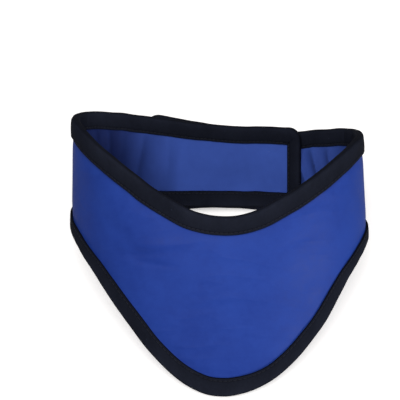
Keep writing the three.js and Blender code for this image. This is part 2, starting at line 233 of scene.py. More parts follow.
class CollarSizes(bpy.types.PropertyGroup):
    """The collar's sizes, as its solids have them"""

    loop_width: length("Loop width", "Side to side, at the neckline's lowest height", 189.5)
    front_reach: length("Front reach", "From the loop's widest line to its front", 57)
    back_reach: length("Back reach", "From the loop's widest line to its back", 49.5)
    loop_squareness: share("Squareness", "Exponent of the loop's plan, 2 for an ellipse", 2.2)
    lean_front: turn("Front lean", "How far the front spreads outward on its way down", 7.5)
    lean_left: turn("Left lean", "The same, on the side towards -X", 2)
    lean_right: turn("Right lean", "The same, on the side towards +X", 4.5)
    lean_back: turn("Back lean", "The same, at the back", 5.5)
    lap: length("Lap", "Length of the ends' overlap", 108)
    lap_shift: length("Lap shift", "From the back's middle to the lap's middle", 5.5)
    lap_ease: length("Lap ease", "Run over which an end moves to its own layer", 70)
    end_corner: length("End corner", "Radius of the sheet's corners", 8)
    bib_depth: length("Bib depth", "From the neckline's lowest point to the bib's tip", 110)
    neck_rise: length("Neck rise", "From the neckline's lowest to its highest point", 54)
    heel_drop: length("Heel drop", "Down to the lower edge at the back's middle", 19.5)
    cover_wall: length("Cover wall", "Thickness of the cover with its shielding sheet", 2.4)
    lining_wall: length("Lining wall", "Thickness of the lining", 1)
    tape_wall: length("Tape wall", "Thickness of the folded tape", 0.9)
    pad_wall: length("Pad wall", "Thickness of a closure pad", 0.9)
    gap: length("Gap", "Between pieces that touch", 0.3)
    tape_width: length("Tape width", "What shows of the tape on each face", 10.5)
    end_tape_width: length("End tape width", "The same, on the upright ends", 8.5)
    loop_pad: length("Loop pad", "Length of the inner end's closure pad", 112)
    hook_pad: length("Hook pad", "Length of the outer end's closure pad", 84)
    pad_margin: length("Pad margin", "From the tape to a closure pad", 4)
    dent_depth: length("Dent depth", "Depth of the wall's soft dents", 1.2)
    press: length("Press", "How far the floor flattens the tape where the collar rests", 0.3)


class CollarSewing(bpy.types.PropertyGroup):
    """How the cloth, tape and thread are worked"""

    cloth_step: length("Cloth step", "Mesh step of the cover and lining", 1.25)
    tape_step: length("Tape step", "Mesh step along the tapes", 0.72)
    fold_run: length("Fold run", "How far the tape's fold rounds over the edge", 2.1)
    seam_inset: length("Seam inset", "From the tape's edge to its row of stitches", 1.7)
    seam_sink: length("Seam sink", "How deep the stitches pull the tape in", 0.34)
    seam_width: length("Seam width", "Width of the groove along the stitches", 0.6)
    stitch: length("Stitch", "From one needle hole to the next", 2.9)
    thread: length("Thread", "Thickness of the sewing thread", 0.42)
    pucker: length("Pucker", "Height of the tape's small ripples", 0.16)
    pucker_run: length("Pucker run", "Length of one ripple", 7)
    cover_dip: length("Cover dip", "How far the cover is drawn in beside the tape", 0.5)
    cover_dip_run: length("Cover dip run", "Width of that dip", 5)
    edge_sway: length("Edge sway", "How far the cut edges stray to each side", 0.25)
    edge_sway_run: length("Edge sway run", "Length of one such stray along the edge", 9)
    wall_wave: length("Wall wave", "Height of the wall's unevenness", 0.45)
    wall_wave_run: length("Wall wave run", "Length of one such wave", 46)
    lining_wave: length("Lining wave", "Height of the lining's loose waves", 0.9)
    lining_wave_run: length("Lining wave run", "Length of one such wave along the loop", 17)
    mitre: length("Mitre", "Height of the fold at the end tape's corners", 0.35)


class CollarLooks(bpy.types.PropertyGroup):
    """Colours and finishes"""

    cover: colour("Cover", "Smooth coated cloth", (0.0112, 0.0342, 0.217))
    cover_thread: colour("Cover, threads", "The same cloth between threads", (0.008, 0.02, 0.16))
    cover_worn: colour("Cover, rubbed", "The same cloth where it is handled", (0.0156, 0.0475, 0.274))
    lining: colour("Lining", "Matte woven cloth", (0.044, 0.094, 0.4))
    lining_shade: colour("Lining, deep", "The same cloth in its darker threads", (0.034, 0.074, 0.33))
    # Painted shade: a darker lining colour for the shade painted in the loop's narrow turns.
    lining_painted_shade: colour("Lining, narrow turn", "The same cloth, deeper", (0.0042, 0.0098, 0.06))
    tape: colour("Tape", "Woven edge tape", (0.003, 0.0038, 0.0078))
    # Partly painted highlight: a paler tape colour, used for the highlights painted along the tape's
    # fold and near its edge, and also for the tape's lighter threads, the thread's twist and the pads'
    # tone.
    tape_pale_and_highlight: colour("Tape, rubbed", "The tape where its fold is rubbed", (0.0165, 0.0195, 0.033))
    # Painted shade: a darker tape colour for the shade painted in the seam's groove, at the tape's rim
    # and over the outermost turn of its fold.
    tape_painted_shade: colour("Tape, sunk", "The tape in its seam and at its rim", (0.002, 0.0024, 0.005))
    thread: colour("Thread", "Sewing thread", (0.008, 0.009, 0.015))
    pad: colour("Pad", "Closure pads", (0.01, 0.01, 0.012))
    dust: colour("Dust", "Fine lint on the cloth", (0.16, 0.2, 0.34))
    cover_weave: length("Cover weave", "From thread to thread of the cover", 0.42)
    lining_weave: length("Lining weave", "From thread to thread of the lining", 0.5)
    tape_weave: length("Tape weave", "From thread to thread of the tape", 0.62)


class CollarStudio(bpy.types.PropertyGroup):
    """Floor, lights and camera"""

    floor: colour("Floor", "Plain pale floor", (0.93, 0.915, 0.905))
    floor_bounce: colour("Floor bounce", "The floor as it lights the collar", (0.5, 0.49, 0.48))
    glow: share("Floor glow", "How much paler the floor shows than it is lit", 0.42)
    sky: share("Sky", "Strength of the even light from all round", 0.27)
    key: share("Front light", "Power of the low soft light at the front right, in watts", 7.9)
    top: share("Top light", "Power of the soft light overhead, in watts", 10.4)
    rise: turn("Camera rise", "Above the collar's own level", 13.4)
    swing: turn("Camera swing", "Round the collar, from its front", -0.5)
    distance: length("Camera distance", "From the camera to the aim", 650)
    aim_drop: length("Aim drop", "From the neckline's lowest point down to the aim", 45)
    aim_x: share("Aim across", "Where the aim lies in the picture, in pixels", 221.1)
    aim_y: share("Aim down", "Where the aim lies in the picture, in pixels", 290.9)
    pixel: length("Pixel", "What one pixel of the picture covers at the aim", 0.62)
    picture: IntProperty(name="Picture", description="Width of the picture in pixels", default=400)


def smooth(t):
    """Eases from 0 to 1."""
    t = np.clip(t, 0, 1)
    return t * t * (3 - 2 * t)


def unit(vectors):
    """The same directions, one long."""
    return vectors / np.linalg.norm(vectors, axis=-1, keepdims=True)


def waves(x, y, seed):
    """Smooth irregular waves from about -1 to 1, one swell for each step of 1 in x and y."""
    values = np.random.default_rng(seed).uniform(-1, 1, (WAVE_GRID, WAVE_GRID))
    column, row = np.floor(x).astype(int), np.floor(y).astype(int)
    across, down = smooth(x - column), smooth(y - row)
    corner = [[values[(column + i) % WAVE_GRID, (row + j) % WAVE_GRID] for j in (0, 1)]
              for i in (0, 1)]
    near = corner[0][0] * (1 - down) + corner[0][1] * down
    far = corner[1][0] * (1 - down) + corner[1][1] * down
    return near * (1 - across) + far * across


class CollarShape:
    """Where each point of the collar's wall lies, given its flat coordinates."""

    def __init__(self, sizes, sewing):
        self.sizes = sizes
        self.sewing = sewing
        self.make_plan()
        self.cover_outside = sizes.gap / 2 + sizes.cover_wall
        self.lining_inside = -sizes.gap / 2 - sizes.lining_wall
        self.tape_outside = self.cover_outside + sizes.gap + sizes.tape_wall
        self.tape_inside = self.lining_inside - sizes.gap - sizes.tape_wall
        self.stand()
        self.cut_edges()
        self.place()

    def make_plan(self):
        """The loop seen from above, as points with the length along it."""
        sizes = self.sizes
        angle = np.pi * np.linspace(-1, 1, PLAN_STEPS + 1)
        across, ahead = np.sin(angle), np.cos(angle)
        power = 2 / sizes.loop_squareness
        reach = np.where(ahead > 0, sizes.front_reach, sizes.back_reach)
        x = sizes.loop_width / 2 * np.sign(across) * np.abs(across) ** power
        y = -reach * np.sign(ahead) * np.abs(ahead) ** power
        self.plan = np.stack([x, y], -1)
        steps = np.linalg.norm(np.diff(self.plan, axis=0), axis=1)
        self.plan_along = np.concatenate([[0], np.cumsum(steps)])
        self.loop = self.plan_along[-1]
        self.half = (self.loop + sizes.lap) / 2
        self.inner_end = -self.half - sizes.lap_shift
        self.outer_end = self.half - sizes.lap_shift

    def plan_point(self, p):
        """The loop's point at p, seen from above."""
        along = np.mod(p + self.loop / 2, self.loop)
        x, y = (np.interp(along, self.plan_along, self.plan[:, i]) for i in (0, 1))
        return np.stack([x, y], -1)

    def plan_outward(self, p):
        """The direction straight out of the loop at p, seen from above."""
        run = unit(self.plan_point(p + TURN_RUN) - self.plan_point(p - TURN_RUN))
        return np.stack([run[..., 1], -run[..., 0]], -1)

    def read_table(self, rows, p):
        """A smooth curve through a table's rows."""
        read = np.zeros(np.shape(p))
        for side, other in (("left", "right"), ("right", "left")):
            here = (p < 0) == (side == "left")
            at = np.array([-rows[1]["along"], *(row["along"] for row in rows)])
            value = np.array([rows[1][other], *(row[side] for row in rows)])
            before = np.maximum(np.arange(len(at)) - 1, 0)
            after = np.minimum(np.arange(len(at)) + 1, len(at) - 1)
            slope = (value[after] - value[before]) / (at[after] - at[before])
            reach = np.clip(np.abs(p) / self.half, 0, at[-1])
            i = np.clip(np.searchsorted(at, reach) - 1, 1, len(at) - 2)
            span = at[i + 1] - at[i]
            t = (reach - at[i]) / span
            line = value[i] * (1 - smooth(t)) + value[i + 1] * smooth(t)
            bend = span * t * (1 - t) * ((1 - t) * slope[i] - t * slope[i + 1])
            read = np.where(here, line + bend, read)
        return read

    def lean_at(self, p):
        """Tangent of the wall's outward lean."""
        sizes = self.sizes
        out = self.plan_outward(p)
        forward = np.maximum(-out[..., 1], 0) ** 2
        backward = np.maximum(out[..., 1], 0) ** 2
        side = np.where(out[..., 0] < 0, sizes.lean_left, sizes.lean_right)
        rest = 1 - forward - backward
        return np.tan(sizes.lean_front * forward + sizes.lean_back * backward + side * rest)

    def layer_shift(self, p):
        """Each end moves to its own layer before it reaches the lap."""
        sizes = self.sizes
        stack = sizes.cover_wall + sizes.gap + sizes.lining_wall
        pitch = stack + 2 * max(sizes.tape_wall, sizes.pad_wall) + 3 * sizes.gap
        start = self.half - sizes.lap - sizes.lap_ease
        return np.sign(p) * pitch / 2 * smooth((np.abs(p) - start) / sizes.lap_ease)

    def bare(self, p, q):
        """The middle of the wall without its relief, in the upright collar."""
        out = self.layer_shift(p) - q * self.lean_at(p)
        at = self.plan_point(p) + self.plan_outward(p) * out[..., None]
        return np.concatenate([at, (q + np.zeros(np.shape(p)))[..., None]], -1)

    def directions(self, p, q):
        """Up along the wall and straight out of it."""
        along = self.bare(p + NUDGE, q) - self.bare(p - NUDGE, q)
        up = unit(self.bare(p, q + NUDGE) - self.bare(p, q - NUDGE))
        return up, unit(np.cross(along, up))

    def tape_hang(self, p, q, floor_up):
        """How far the lower tape hangs below the wall's edge, seen along the floor's upright."""
        sizes = self.sizes
        fold = -sizes.gap - sizes.tape_wall
        section = [
            (sizes.tape_width, self.tape_outside),
            (fold + BEVEL, self.tape_outside),
            (fold, self.tape_outside - ROLL),
            (fold, self.tape_inside + BEVEL),
            (fold + BEVEL, self.tape_inside),
            (sizes.tape_width, self.tape_inside),
        ]
        up, out = self.directions(p, q)
        return -np.min([depth * (up @ floor_up) + layer * (out @ floor_up)
                        for depth, layer in section], axis=0)

    def stand(self):
        """Leans the collar back until the tape at its tip and at its heel both touch the floor."""
        sizes = self.sizes
        tip_at, heel_at = (0.0, -sizes.bib_depth), (self.loop / 2, -sizes.heel_drop)
        tip, heel = self.bare(*map(np.float64, tip_at)), self.bare(*map(np.float64, heel_at))
        span = heel - tip

        def upright(tilt):
            return np.array([0, -math.sin(tilt), math.cos(tilt)])

        self.tilt = math.atan2(span[2], span[1])
        for _ in range(SOLVE_STEPS):
            rise = (self.tape_hang(*map(np.float64, heel_at), upright(self.tilt))
                    - self.tape_hang(*map(np.float64, tip_at), upright(self.tilt)))
            self.tilt = math.atan2(span[2], span[1]) - math.asin(rise / np.linalg.norm(span))
        self.floor_up = upright(self.tilt)
        hang = self.tape_hang(*map(np.float64, tip_at), self.floor_up)
        self.floor_level = tip @ self.floor_up - hang + sizes.press

    def cut_edges(self):
        """The sheet's lower edge and neckline, read along the whole sheet."""
        sizes = self.sizes
        count = round((self.outer_end - self.inner_end) / NUDGE) + 1
        self.cut_at = np.linspace(self.inner_end, self.outer_end, count)
        free = -sizes.bib_depth * self.read_table(LOWER_EDGE, self.cut_at)
        hang = self.tape_hang(self.cut_at, free, self.floor_up)
        height = self.bare(self.cut_at, free) @ self.floor_up - self.floor_level
        lift = np.maximum(hang - sizes.press - height, 0)
        self.cut_low = free + lift / (self.directions(self.cut_at, free)[0] @ self.floor_up)
        self.cut_top = sizes.neck_rise * self.read_table(NECKLINE, self.cut_at)
        sway, at = self.sewing.edge_sway, self.cut_at / self.sewing.edge_sway_run
        self.cut_low = self.cut_low + sway * waves(at + 10, 0 * at + 5, SEED + 9)
        self.cut_top = self.cut_top + sway * waves(at + 10, 0 * at + 5, SEED + 10)

    def lower_edge(self, p):
        """Height of the sheet's lower edge."""
        return np.interp(p, self.cut_at, self.cut_low)

    def neckline(self, p):
        """Height of the sheet's upper edge."""
        return np.interp(p, self.cut_at, self.cut_top)

    def inset(self, edge, into, p, depth):
        """The height, at p, of a line that runs a given depth inside an edge of the sheet."""
        at = p + 0 * depth
        for _ in range(SOLVE_STEPS):
            slope = (edge(at + MM) - edge(at - MM)) / (2 * MM)
            size = np.hypot(slope, 1)
            at = p + into * slope / size * depth
        return edge(at) + into / size * depth

    def relief(self, p, q):
        """The dents and the soft unevenness that all the wall's layers share."""
        sizes, sewing = self.sizes, self.sewing
        top, low = self.neckline(p), self.lower_edge(p)
        down = (top - q) / (top - low)
        out = 0 * p
        for dent in DENTS:
            far = (((p / self.half - dent["along"]) / dent["wide"]) ** 2
                   + ((down - dent["down"]) / dent["tall"]) ** 2)
            out = out + dent["out"] * sizes.dent_depth * np.exp(-far)
        run = sewing.wall_wave_run
        return out + sewing.wall_wave * waves(p / run + 40, q / run + 40, SEED)

    def wall(self, p, q, k):
        """Points of the wall in the row frame; what would sink into the floor is pressed flat."""
        p, q, k = np.broadcast_arrays(p, q, k)
        out = self.directions(p, q)[1]
        point = self.bare(p, q) + out * (k + self.relief(p, q))[..., None]
        return self.to_row(point)

    def to_row(self, point, press=True):
        """From the upright collar to the row frame."""
        low = np.maximum(self.floor_level - point @ self.floor_up, 0) if press else 0
        point = point + np.multiply.outer(low, self.floor_up)
        c, s = math.cos(self.tilt), math.sin(self.tilt)
        return point @ np.array([[1, 0, 0], [0, c, s], [0, -s, c]]).T + self.shift

    def place(self):
        """Finds the row frame from the box of the solid cover."""
        self.shift = np.array([0, 0, -self.floor_level])
        p = np.linspace(self.inner_end, self.outer_end, PLAN_STEPS)[:, None]
        t = np.linspace(0, 1, BACK_ROWS + 1)
        low, top = self.lower_edge(p), self.neckline(p)
        layers = [self.wall(p, low + (top - low) * t, k) for k in (0, self.cover_outside)]
        points = np.concatenate([layer.reshape(-1, 3) for layer in layers])
        solid = [np.array(corner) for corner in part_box("shield_cover")]
        middle = (solid[0] + solid[1] - points.min(0) - points.max(0)) / 2
        self.shift = np.array([middle[0], middle[1], -self.floor_level])

    def outline(self, p, grow=0.0):
        """Lowest and highest point of the sheet at p, with its rounded corners."""
        radius = self.sizes.end_corner + grow
        reach = np.minimum(p - self.inner_end, self.outer_end - p) + grow
        across = np.maximum(radius - reach, 0)
        drop = radius - np.sqrt(np.maximum(radius ** 2 - across ** 2, 0))
        return self.lower_edge(p) - grow + drop, self.neckline(p) + grow - drop

    def tape_depth(self, into, p, depth):
        """A depth inside an edge's tape; the lower one shows narrower round the sides of the bib."""
        part = self.read_table(BIB_TAPE, p) if into > 0 else 1
        return np.where(depth > 0, depth * part, depth)

    def tape_edge_distance(self, p, q):
        """How far a point of the sheet lies inside the tapes' edges; negative under a tape."""
        sizes = self.sizes
        slope_low = np.gradient(self.cut_low, self.cut_at)
        slope_top = np.gradient(self.cut_top, self.cut_at)
        low = (q - self.lower_edge(p)) / np.hypot(np.interp(p, self.cut_at, slope_low), 1)
        top = (self.neckline(p) - q) / np.hypot(np.interp(p, self.cut_at, slope_top), 1)
        ends = np.minimum(p - self.inner_end, self.outer_end - p)
        low = low - self.tape_depth(1, p, sizes.tape_width + 0 * p)
        top = top - sizes.tape_width
        return np.minimum(np.minimum(low, top), ends - sizes.end_tape_width)

    def cover_relief(self, p, q):
        """How the cover is drawn in beside the tapes, and creased."""
        sewing = self.sewing
        inside = np.maximum(self.tape_edge_distance(p, q), 0)
        out = -sewing.cover_dip * np.exp(-(inside / sewing.cover_dip_run) ** 2)
        for row in CREASES:
            start = np.array([row["from_p"], row["from_q"]]) * MM
            run = np.array([row["to_p"], row["to_q"]]) * MM - start
            t = np.clip(((p - start[0]) * run[0] + (q - start[1]) * run[1]) / (run @ run), 0, 1)
            off = np.hypot(p - start[0] - t * run[0], q - start[1] - t * run[1])
            ridge = np.exp(-(off / MM / row["width"]) ** 2) * np.sin(np.pi * t)
            out = out + row["out"] * MM * ridge
        return out

    def lining_slack(self, p, q):
        """How far the lining stands off the wall, in its folds and its loose waves."""
        sizes, sewing = self.sizes, self.sewing
        width = sizes.tape_width + 0 * p
        low = self.inset(self.lower_edge, 1, p, self.tape_depth(1, p, width))
        top = self.inset(self.neckline, -1, p, width)
        up = np.clip((q - low) / (top - low), 0, 1)
        folds = 0 * p
        for row in PLEATS:
            far = (p / MM - row["at"] + row["lean"] * (up - 0.5)) / row["width"]
            folds = folds + row["out"] * MM * np.exp(-np.sqrt(far ** 2 + 0.06) ** 1.3)
        run = sewing.lining_wave_run
        loose = waves(p / run + 50, q / (3.2 * run) + 50, SEED + 1)
        loose = loose + 0.5 * waves(p / (0.45 * run) + 20, q / (1.6 * run) + 20, SEED + 2)
        reach = np.minimum(p - self.inner_end, self.outer_end - p) - sizes.end_tape_width
        past_lap = np.abs(p) - (self.half - sizes.lap - LAP_FADE)
        shown = 1 - smooth(past_lap / LAP_FADE) * (p > 0)
        ease = np.sin(np.pi * up)
        free = sewing.lining_wave * (0.6 + 0.5 * loose) * ease * smooth(reach / FADE_OUT) * shown
        return folds * ease ** 0.4 + free


def add_mesh(name, vertices, faces, flat, material, node_names):
    """A named piece with its flat coordinates, which rides with the frame."""
    mesh = bpy.data.meshes.new(name)
    mesh.from_pydata(vertices.tolist(), [], faces)
    attribute = mesh.attributes.new("flat", "FLOAT_VECTOR", "POINT")
    attribute.data.foreach_set("vector", np.asarray(flat, np.float32).ravel())
    mesh.shade_smooth()
    mesh.set_sharp_from_angle(angle=SHARP)
    mesh.materials.append(material)
    piece = bpy.data.objects.new(name, mesh)
    bpy.context.scene.collection.objects.link(piece)
    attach(piece, "root")
    if node_names:
        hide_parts(*node_names)
    return piece


def ring_faces(rings, count):
    """Faces of a tube of rings, closed at both ends, facing outward for rings that turn left."""
    faces = []
    for i in range(rings - 1):
        for j in range(count):
            k = (j + 1) % count
            faces.append((i * count + j, i * count + k, (i + 1) * count + k, (i + 1) * count + j))
    last = (rings - 1) * count
    faces.append(tuple(range(count - 1, -1, -1)))
    faces.append(tuple(last + j for j in range(count)))
    return faces


def volume_of(points, faces):
    """Signed volume, to see which way the faces turn."""
    quads = np.array([face for face in faces if len(face) == 4])
    a, b, c, d = (points[quads[:, i]] for i in range(4))
    return (np.einsum("ij,ij->", a, np.cross(b, c)) + np.einsum("ij,ij->", a, np.cross(c, d))) / 6


def tube(name, points, flat, material, node_names):
    """A closed piece from an array of rings of points."""
    rings, count = points.shape[:2]
    vertices = points.reshape(-1, 3)
    faces = ring_faces(rings, count)
    if volume_of(vertices - vertices.mean(0), faces) < 0:
        faces = [face[::-1] for face in faces]
    return add_mesh(name, vertices, faces, flat.reshape(-1, 3), material, node_names)


def sheet_columns(shape):
    """Places along the sheet, close together round its corners."""
    radius, step = shape.sizes.end_corner, shape.sewing.cloth_step
    corner = radius * (1 - np.cos(np.linspace(0, np.pi / 2, CORNER_COLUMNS)))
    start, stop = shape.inner_end + radius, shape.outer_end - radius
    middle = np.linspace(start, stop, round((stop - start) / step) + 1)
    return np.concatenate([shape.inner_end + corner[:-1], middle, shape.outer_end - corner[-2::-1]])


def cloth(shape, name, face, back, rows, material, node_names):
    """A sheet with a finely worked face and a plain back; face and back give k for (p, q)."""
    p = sheet_columns(shape)[:, None]
    low, top = shape.outline(p)
    worked = low + (top - low) * np.linspace(0, 1, rows + 1)
    plain = top + (low - top) * np.linspace(0, 1, BACK_ROWS + 1)
    q = np.concatenate([worked, plain], 1)
    p = p + 0 * q
    k = np.concatenate([face(p[:, :rows + 1], worked), back(p[:, rows + 1:], plain)], 1)
    return tube(name, shape.wall(p, q, k), np.stack([p, q, k], -1), material, node_names)


def sheet_area(shape):
    """Flat area of the cut sheet."""
    low, top = shape.outline(shape.cut_at)
    return float(np.trapz(top - low, shape.cut_at))


def declare_sheet(shape):
    """Works out the cut sheet's flat area, which is not used further."""
    sheet_area(shape)


def tape_profile(shape):
    """The tape's section, a row for each point: depth inside the sheet's edge, layer, how much the
    seam sinks it, and how much it faces out of the wall, each minus on the lining's side."""
    sizes, sewing = shape.sizes, shape.sewing
    width = sizes.tape_width
    fold = sizes.gap + sizes.tape_wall
    seam = width - sewing.seam_inset
    groove = sewing.seam_width
    marks = [*(width - part * LIP for part in (0, 0.1, 0.35, 0.65, 1)),
             *(seam + part * groove for part in (1.2, 0.6, 0, -0.6, -1.2, -2.2)),
             *(part * width for part in (0.6, 0.5, 0.4, 0.3, 0.22))]
    round_from = sewing.fold_run - fold
    profile = []
    for face, cloth_face in ((shape.tape_outside, shape.cover_outside),
                             (shape.tape_inside, shape.lining_inside)):
        out = np.sign(face)
        rows = []
        for depth in marks:
            edge = max(depth - (width - LIP), 0) / LIP
            drop = (1 - math.sqrt(max(1 - edge ** 2, 0))) * (abs(face - cloth_face) - 0.05 * MM)
            puff = PUFF * math.sin(math.pi * min(max(depth / width, 0), 1)) - SHY
            sink = math.exp(-((depth - seam) / groove) ** 2)
            rows.append((depth, face + out * (puff - drop), out * sink, out))
        for angle in np.linspace(0, np.pi / 2, FOLD_ROWS):
            depth = round_from - sewing.fold_run * math.sin(angle)
            layer = face - out * sewing.fold_run * 1.02 * (1 - math.cos(angle)) - out * SHY
            rows.append((depth, layer, 0.0, out * math.cos(angle)))
        profile.append(rows)
    inner = [(-sizes.gap, shape.tape_inside + sizes.tape_wall),
             (-sizes.gap, shape.tape_outside - sizes.tape_wall)]
    under = [(width, inner[0][1]), (0.5 * width, inner[0][1]), *inner,
             (0.5 * width, inner[1][1]), (width - HEM, inner[1][1])]
    return np.array(profile[0] + profile[1][::-1] + [(depth, k, 0.0, 0.0) for depth, k in under])


def stitch_places(along, sewing):
    """Places of the stitches' middles on a seam whose running length is along."""
    count = int((along[-1] - along[0]) / sewing.stitch)
    spare = (along[-1] - along[0] - count * sewing.stitch) / 2
    return along[0] + spare + sewing.stitch * (np.arange(count) + 0.5)


def seam_pull(along, sewing):
    """How hard the thread pulls at each place: most at the needle holes."""
    start = stitch_places(along, sewing)[0]
    return 0.6 + 0.4 * np.cos(2 * np.pi * ((along - start) / sewing.stitch + 0.5))


def tape_relief(shape, profile, along, seed):
    """How far each point of a tape moves along k: puckers, and the pull of the seam."""
    sewing = shape.sewing
    depth, sink, face = profile[:, 0], profile[:, 2], profile[:, 3]
    run = sewing.pucker_run
    x, y = along[:, None] / run, depth[None, :] / (1.4 * run)
    ripple = waves(x + 30, y + 30, seed) + 0.5 * waves(2.3 * x + 60, 2 * y + 60, seed + 1)
    pull = seam_pull(along, sewing)[:, None] * sink[None, :] * sewing.seam_sink
    return sewing.pucker * ripple * face[None, :] - pull


def edge_columns(shape, edge):
    """Places along an edge at even steps of its own length, and that length."""
    inset = joint_inset(shape)
    fine = np.linspace(shape.inner_end + inset, shape.outer_end - inset, EDGE_STEPS)
    run = np.concatenate([[0], np.cumsum(np.hypot(np.diff(fine), np.diff(edge(fine))))])
    even = np.linspace(0, run[-1], round(run[-1] / shape.sewing.tape_step) + 1)
    return np.interp(even, run, fine), even


def joint_inset(shape):
    """From an end of the sheet to where its end tape meets the long tapes."""
    return shape.sizes.end_tape_width + JOINT_GAP


def edge_tape(shape, name, edge, into, creases, seed, material, node_name):
    """A tape folded over the neckline or the lower edge."""
    profile = tape_profile(shape)
    p, along = edge_columns(shape, edge)
    depth = shape.tape_depth(into, p[:, None], profile[None, :, 0])
    q = shape.inset(edge, into, p[:, None] + 0 * depth, depth)
    k = profile[None, :, 1] + tape_relief(shape, profile, along, seed)
    for row in creases:
        far = (p / MM - row["at"]) / row["width"]
        k = k - row["deep"] * MM * np.exp(-far ** 2)[:, None] * profile[None, :, 3]
    points = shape.wall(p[:, None] + 0 * q, q, k)
    flat = np.stack([along[:, None] + 0 * q, profile[None, :, 0] + 0 * q, k], -1)
    return tube(name, points, flat, material, [node_name])


def end_path(shape, end, inward, depth):
    """Flat coordinates of the line that runs a given depth inside an end: along the neckline, round
    the top corner, down the end, round the lower corner and along the lower edge."""
    sizes = shape.sizes
    radius = max(sizes.end_corner - depth, TIGHTEST_CORNER)
    across = depth * (sizes.end_tape_width / sizes.tape_width if depth > 0 else 1)
    side = end + inward * across
    joint = end + inward * joint_inset(shape)
    run, bend, drop = END_STEPS
    corner = side + inward * radius
    flat_p = np.linspace(joint, corner, run)
    angle = np.linspace(0, np.pi / 2, bend)[1:]
    line_p = np.concatenate([flat_p, corner - inward * radius * np.sin(angle)])
    fall = np.concatenate([0 * flat_p, radius * (1 - np.cos(angle))])
    reach = np.full(len(line_p), depth)
    top_q, low_q = (shape.inset(edge, into, line_p, reach) + into * fall
                    for edge, into in ((shape.neckline, -1), (shape.lower_edge, 1)))
    t = np.linspace(0, 1, drop + 2)[1:-1]
    p = np.concatenate([line_p, line_p[-1] + 0 * t, line_p[::-1]])
    q = np.concatenate([top_q, top_q[-1] + (low_q[-1] - top_q[-1]) * t, low_q[::-1]])
    return p, q


def end_tape(shape, name, end, inward, seed, material, node_name):
    """A tape folded over an upright end and mitred over both corners."""
    profile = tape_profile(shape)
    lines = [end_path(shape, end, inward, depth) for depth in profile[:, 0]]
    p = np.stack([line[0] for line in lines], 1)
    q = np.stack([line[1] for line in lines], 1)
    fold_line = np.hypot(np.diff(p[:, FOLD_POINT]), np.diff(q[:, FOLD_POINT]))
    along = np.concatenate([[0], np.cumsum(fold_line)])
    k = profile[None, :, 1] + tape_relief(shape, profile, along, seed)
    corner = END_STEPS[0] + END_STEPS[1] // 2
    lie = smooth(profile[:, 0] / MITRE_START) * profile[:, 3]
    for middle, way in ((corner, 1), (len(along) - 1 - corner, -1)):
        past = way * (along[middle] - along) / MITRE_STEP
        flap = smooth(past + 0.5) * np.exp(-np.maximum(past, 0) / MITRE_FADE)
        k = k + shape.sewing.mitre * flap[:, None] * lie[None, :]
    flat = np.stack([along[:, None] + 0 * q, profile[None, :, 0] + 0 * q, k], -1)
    return tube(name, shape.wall(p, q, k), flat, material, [node_name])


def stitch_rows(shape, lines, name, material):
    """Threads that lie in the grooves of a tape: lines holds (p, q, k, out, along) of each seam."""
    sewing = shape.sewing
    t = np.linspace(-1, 1, STITCH_RINGS)
    lift = STITCH_LIFT + STITCH_BOW * (1 - t ** 2)
    thick = sewing.thread / 2 * np.sqrt(np.clip(1 - 0.9 * t ** 6, 0.02, 1))
    angle = np.linspace(0, 2 * np.pi, STITCH_SIDES, endpoint=False)
    around = np.broadcast_to(angle * sewing.thread, (STITCH_RINGS, STITCH_SIDES))
    found = ring_faces(STITCH_RINGS, STITCH_SIDES)
    vertices, faces, flat = [], [], []
    for p, q, k, out, along in lines:
        for place in stitch_places(along, sewing):
            s = place + sewing.stitch * STITCH_REACH * t
            at_p, at_q, at_k = (np.interp(s, along, values) for values in (p, q, k))
            at_k = at_k + out * lift
            middle = shape.wall(at_p, at_q, at_k)
            ahead = unit(np.gradient(middle, axis=0))
            up = unit(shape.wall(at_p, at_q, at_k + STITCH_LIFT * out) - middle)
            side = unit(np.cross(ahead, up))
            ring = (np.cos(angle)[None, :, None] * side[:, None, :]
                    + 0.8 * np.sin(angle)[None, :, None] * up[:, None, :])
            points = middle[:, None, :] + ring * thick[:, None, None]
            start = len(vertices)
            vertices.extend(points.reshape(-1, 3))
            faces.extend(tuple(start + i for i in face) for face in found)
            run = np.broadcast_to(s[:, None], around.shape)
            flat.extend(np.stack([run, around, 0 * run], -1).reshape(-1, 3))
    return add_mesh(name, np.array(vertices), faces, flat, material, [])


def pad(shape, name, start, stop, face, out, material, node_name):
    """A closure pad on one face of the wall, with rounded rims."""
    sizes = shape.sizes
    p = np.linspace(start, stop, round((stop - start) / PAD_STEP) + 1)[:, None]
    inner = sizes.tape_width + sizes.pad_margin
    low = shape.inset(shape.lower_edge, 1, p, inner + 0 * p)
    top = shape.inset(shape.neckline, -1, p, inner + 0 * p)
    t = np.linspace(0, 1, PAD_ROWS)
    q = np.concatenate([low + (top - low) * t, top + (low - top) * t], 1)
    near, far = face + out * sizes.gap, face + out * (sizes.gap + sizes.pad_wall)
    rim = np.minimum(np.minimum(t, 1 - t) * PAD_ROWS / PAD_RIM, 1)
    rise = np.concatenate([near + (far - near) * (0.5 + 0.5 * rim), np.full(PAD_ROWS, near)])
    points = shape.wall(p + 0 * q, q, rise[None, :] + 0 * q)
    flat = np.stack([p + 0 * q, q, 0 * q], -1)
    return tube(name, points, flat, material, [node_name])


def node(tree, kind, inputs=None, **settings):
    """A shader node, its settings, and its inputs as values or as links from other nodes."""
    made = tree.nodes.new(kind)
    for name, value in settings.items():
        setattr(made, name, value)
    for key, value in (inputs or {}).items():
        if isinstance(value, bpy.types.NodeSocket):
            tree.links.new(value, made.inputs[key])
        else:
            made.inputs[key].default_value = value
    return made


def calc(tree, operation, *values, clamp=False):
    """The result of a Math node."""
    return node(tree, "ShaderNodeMath", dict(enumerate(values)), operation=operation,
                use_clamp=clamp).outputs[0]


